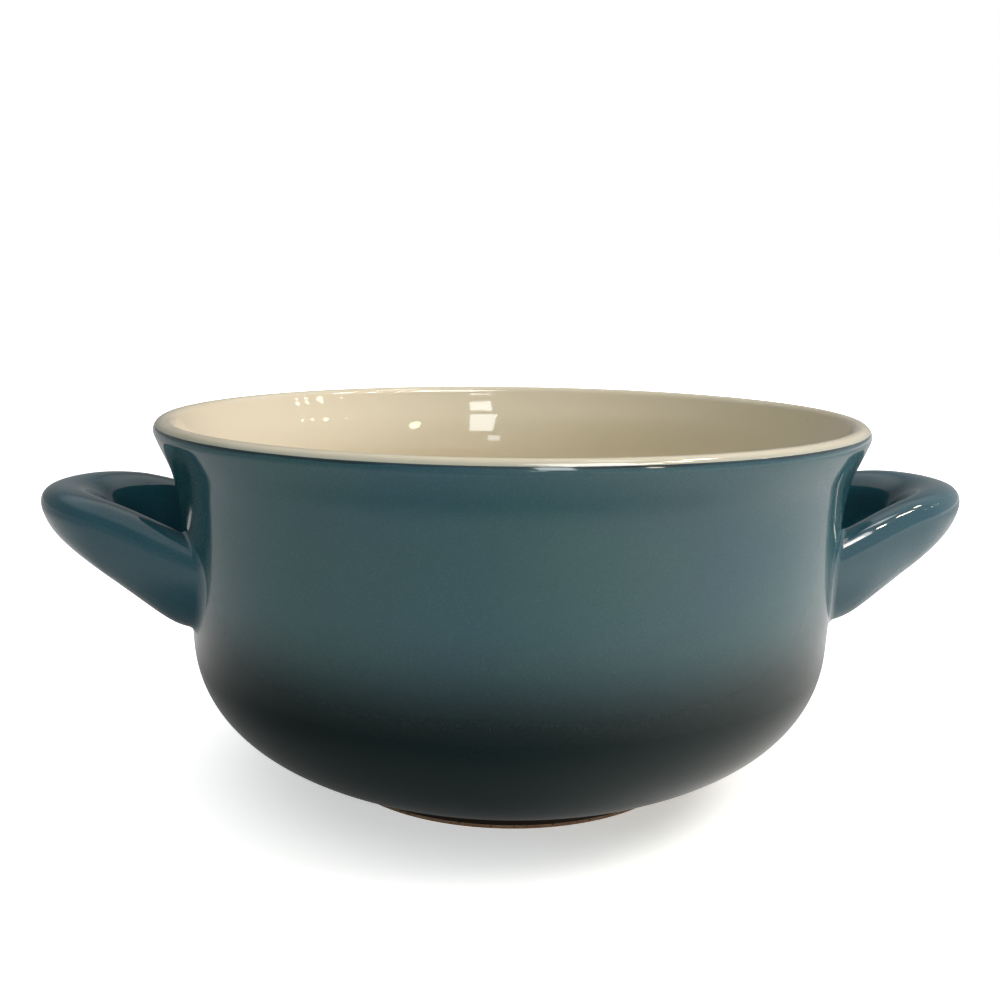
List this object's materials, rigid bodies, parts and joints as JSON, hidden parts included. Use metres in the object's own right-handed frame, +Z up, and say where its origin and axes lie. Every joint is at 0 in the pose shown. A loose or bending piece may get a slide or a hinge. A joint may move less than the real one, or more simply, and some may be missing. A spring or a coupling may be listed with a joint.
{
  "type": "french onion soup crock",
  "caption": "Round stoneware soup crock with a flared rim, a foot ring and a loop handle on each side, cream glazed inside and teal fading to near-black outside.",
  "frame": {"origin": "centre of the foot ring, on the surface that the crock stands on", "axes": "+Z up along the bowl's axis, +X through the middle of the right handle, +Y away from the viewer of the picture"},
  "size_m": [0.1854, 0.14, 0.073],
  "materials": {
    "clay": "bare fired stoneware, matt",
    "cream_glaze": "glossy cream glaze",
    "teal_glaze": "glossy mottled teal glaze, fading darker downwards",
    "dark_glaze": "glossy near-black glaze"
  },
  "bodies": {
    "root": {"clay_body": "clay", "left_handle": "clay", "right_handle": "clay", "liner_glaze": "cream_glaze", "teal_glaze": "teal_glaze", "base_glaze": "dark_glaze", "well_glaze": "dark_glaze", "left_handle_glaze": "teal_glaze", "right_handle_glaze": "teal_glaze"}
  },
  "joints": []
}
